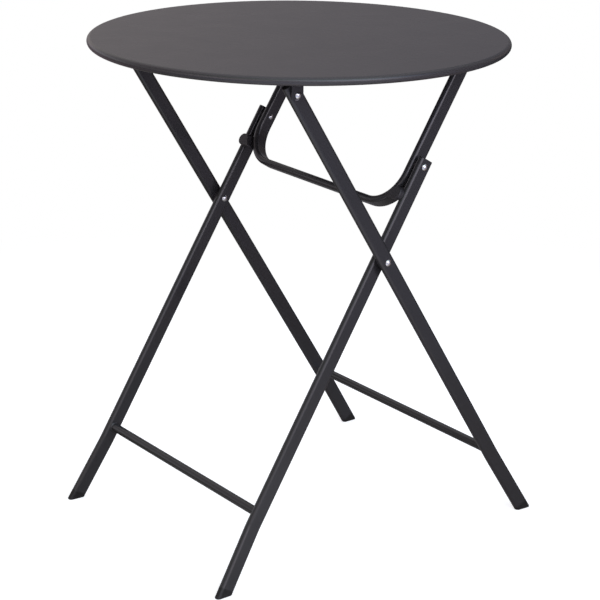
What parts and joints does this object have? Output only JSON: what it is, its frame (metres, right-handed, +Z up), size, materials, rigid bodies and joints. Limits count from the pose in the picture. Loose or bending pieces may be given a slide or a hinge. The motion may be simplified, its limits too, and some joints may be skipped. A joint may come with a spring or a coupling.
{
  "type": "folding bistro table",
  "caption": "Folding cafe table: round sheet-steel top with a rolled rim on two crossed flat-tube leg frames, held open by a U-shaped brace under the top.",
  "frame": {"origin": "on the floor, under the centre of the round top", "axes": "+Z up; +X from the side of the outer frame's hinge towards the side of the brace's hinge, so the outer frame's feet are at +X; the hinge lines and crossbars run along Y"},
  "size_m": [0.6, 0.6, 0.714],
  "materials": {
    "top_paint": "matt fine-texture powder coat, warm anthracite",
    "frame_paint": "satin powder coat, dark anthracite",
    "zinc_steel": "bright zinc plate",
    "black_plastic": "moulded, fine spark-eroded texture",
    "grey_plastic": "moulded, satin"
  },
  "bodies": {
    "tabletop": {"tabletop_panel": "top_paint", "outer_hinge_bracket_near": "frame_paint", "outer_hinge_bracket_far": "frame_paint", "brace_hinge_bracket_near": "frame_paint", "brace_hinge_bracket_far": "frame_paint", "outer_hinge_rivets": "zinc_steel", "outer_hinge_washers": "zinc_steel", "brace_hinge_rivets": "zinc_steel", "brace_hinge_washers": "zinc_steel"},
    "outer_frame": {"outer_leg_near": "frame_paint", "outer_leg_far": "frame_paint", "outer_crossbar": "frame_paint", "outer_foot_cap_near": "black_plastic", "outer_foot_cap_far": "black_plastic", "outer_end_plugs": "black_plastic", "scissor_rivets": "zinc_steel", "scissor_spacers": "grey_plastic"},
    "inner_frame": {"inner_leg_near": "frame_paint", "inner_leg_far": "frame_paint", "inner_crossbar": "frame_paint", "inner_foot_cap_near": "black_plastic", "inner_foot_cap_far": "black_plastic", "inner_end_plugs": "black_plastic", "brace_pin_outer_halves": "zinc_steel", "brace_pin_spacers": "grey_plastic"},
    "brace": {"brace_bar": "frame_paint", "brace_end_plugs": "black_plastic", "brace_pin_inner_halves": "zinc_steel", "brace_stop_near": "grey_plastic", "brace_stop_far": "grey_plastic"}
  },
  "joints": [
    {"name": "fold", "type": "hinge", "parent": "tabletop", "child": "outer_frame", "pos_m": [-0.1601, 0, 0.6857], "axis": [0, -1, 0], "range_deg": [0, 53.45]},
    {"name": "scissor", "type": "hinge", "parent": "outer_frame", "child": "inner_frame", "pos_m": [-0.00366, 0, 0.4315], "axis": [0, -1, 0], "range_deg": [0, 60.25]},
    {"name": "brace_swing", "type": "hinge", "parent": "tabletop", "child": "brace", "pos_m": [0.1524, 0, 0.6857], "axis": [0, 1, 0], "range_deg": [0, 55.75]}
  ],
  "couplings": [
    {"joint": "scissor", "follows": "fold", "ratio": 1.1248},
    {"joint": "brace_swing", "follows": "fold", "ratio": 1.0408}
  ]
}
